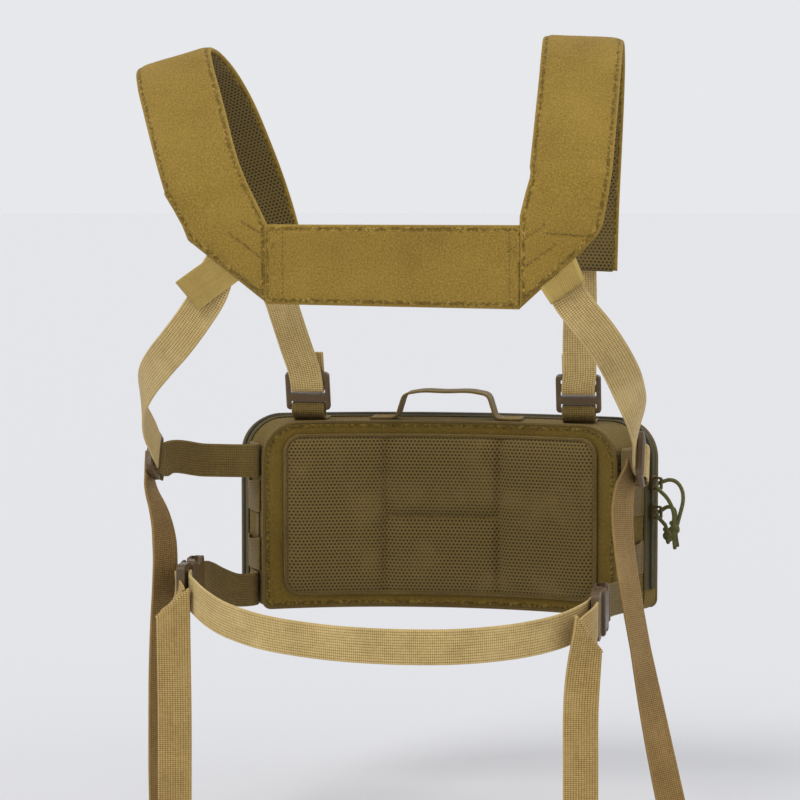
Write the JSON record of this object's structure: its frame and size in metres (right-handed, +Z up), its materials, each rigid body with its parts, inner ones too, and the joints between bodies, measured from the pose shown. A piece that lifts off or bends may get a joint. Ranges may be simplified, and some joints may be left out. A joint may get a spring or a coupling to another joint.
{
  "type": "binocular harness pack",
  "caption": "Curved zip-front chest pack for binoculars on a padded shoulder yoke, with webbing under-arm straps, a waist strap and side-release buckles.",
  "frame": {"origin": "on the pack's middle plane, between the undersides of the shoulder straps where they cross the wearer's shoulders", "axes": "+X towards the wearer's right, +Y the way the wearer faces, +Z up"},
  "size_m": [0.4066, 0.304, 0.575],
  "materials": {
    "strap_fabric": "plain weave, matt, stitched",
    "webbing": "ribbed weave",
    "lining_mesh": "spacer mesh",
    "pack_fabric": "coated plain weave",
    "lining_fabric": "plain lining cloth",
    "elastic": "ribbed elastic",
    "loop_pile": "loop pile",
    "zip_tape": "zip tape",
    "zip_teeth": "moulded coil",
    "slider_metal": "worn paint",
    "pull_cord": "braided cord",
    "buckle_plastic": "moulded, matt",
    "grommet_metal": "dull"
  },
  "bodies": {
    "harness": {"shoulder_strap_left": "strap_fabric", "shoulder_strap_right": "strap_fabric", "back_yoke": "strap_fabric", "shoulder_lining_left": "lining_mesh", "shoulder_lining_right": "lining_mesh", "yoke_lining": "lining_mesh", "yoke_loop_left": "webbing", "yoke_loop_right": "webbing", "side_strap_left": "webbing", "side_strap_right": "webbing", "side_anchor_left": "webbing", "side_anchor_right": "webbing", "side_adjuster_left": "buckle_plastic", "side_adjuster_right": "buckle_plastic", "front_strap_left": "webbing", "front_strap_right": "webbing", "front_anchor_left": "webbing", "front_anchor_right": "webbing", "front_adjuster_left": "buckle_plastic", "front_adjuster_right": "buckle_plastic", "waist_anchor_left": "webbing", "waist_anchor_right": "webbing", "waist_buckle_female_left": "buckle_plastic", "waist_buckle_female_right": "buckle_plastic", "pack_shell": "pack_fabric", "pack_back_panel": "lining_mesh", "inner_pocket": "lining_fabric", "retention_strap": "elastic", "drain_grommets": "grommet_metal", "side_webbing_left": "webbing", "side_webbing_right": "webbing", "grab_handle": "webbing", "zipper_tape_shell": "zip_tape", "zipper_teeth_shell": "zip_teeth"},
    "cover": {"pack_cover": "pack_fabric", "zipper_tape_cover": "zip_tape", "zipper_teeth_cover": "zip_teeth", "front_webbing": "webbing", "loop_patch": "loop_pile"},
    "slider_upper": {"zipper_slider_upper": "slider_metal"},
    "slider_lower": {"zipper_slider_lower": "slider_metal"},
    "pull_upper": {"pull_cord_upper": "pull_cord", "pull_knot_upper": "pull_cord"},
    "pull_lower": {"pull_cord_lower": "pull_cord", "pull_knot_lower": "pull_cord"},
    "waist_belt": {"waist_strap": "webbing", "waist_buckle_male_left": "buckle_plastic", "waist_buckle_male_right": "buckle_plastic"},
    "tail_waist_left": {"waist_tail_left": "webbing"},
    "tail_waist_right": {"waist_tail_right": "webbing"},
    "tail_side_left": {"side_tail_left": "webbing"},
    "tail_side_right": {"side_tail_right": "webbing"}
  },
  "joints": [
    {"name": "cover_opening", "type": "hinge", "parent": "harness", "child": "cover", "pos_m": [0, 0.2084, -0.415], "axis": [-1, 0, 0], "range_deg": [0, 95]},
    {"name": "upper_slider_travel", "type": "slide", "parent": "harness", "child": "slider_upper", "axis": [0, 0, 1], "range_m": [0, 0.01]},
    {"name": "lower_slider_travel", "type": "slide", "parent": "harness", "child": "slider_lower", "axis": [0, 0, -1], "range_m": [0, 0.048]},
    {"name": "upper_pull_swing", "type": "hinge", "parent": "slider_upper", "child": "pull_upper", "pos_m": [0.16243, 0.1681, -0.319], "axis": [0.4462, 0.8949, 0], "range_deg": [-40, 12]},
    {"name": "lower_pull_swing", "type": "hinge", "parent": "slider_lower", "child": "pull_lower", "pos_m": [0.16243, 0.1681, -0.341], "axis": [0.4462, 0.8949, 0], "range_deg": [-40, 12]},
    {"name": "waist_release", "type": "slide", "parent": "harness", "child": "waist_belt", "axis": [0, -1, 0], "range_m": [0, 0.045]},
    {"name": "waist_tail_left_swing", "type": "hinge", "parent": "waist_belt", "child": "tail_waist_left", "pos_m": [-0.1772, 0.0074, -0.395], "axis": [1, 0, 0], "range_deg": [-25, 5]},
    {"name": "waist_tail_right_swing", "type": "hinge", "parent": "waist_belt", "child": "tail_waist_right", "pos_m": [0.1213, -0.017, -0.407], "axis": [1, 0, 0], "range_deg": [-25, 5]},
    {"name": "side_tail_left_swing", "type": "hinge", "parent": "harness", "child": "tail_side_left", "pos_m": [-0.2066, 0.061, -0.294], "axis": [1, 0, 0], "range_deg": [-5, 20]},
    {"name": "side_tail_right_swing", "type": "hinge", "parent": "harness", "child": "tail_side_right", "pos_m": [0.1485, 0.062, -0.296], "axis": [1, 0, 0], "range_deg": [-15, 6]}
  ]
}
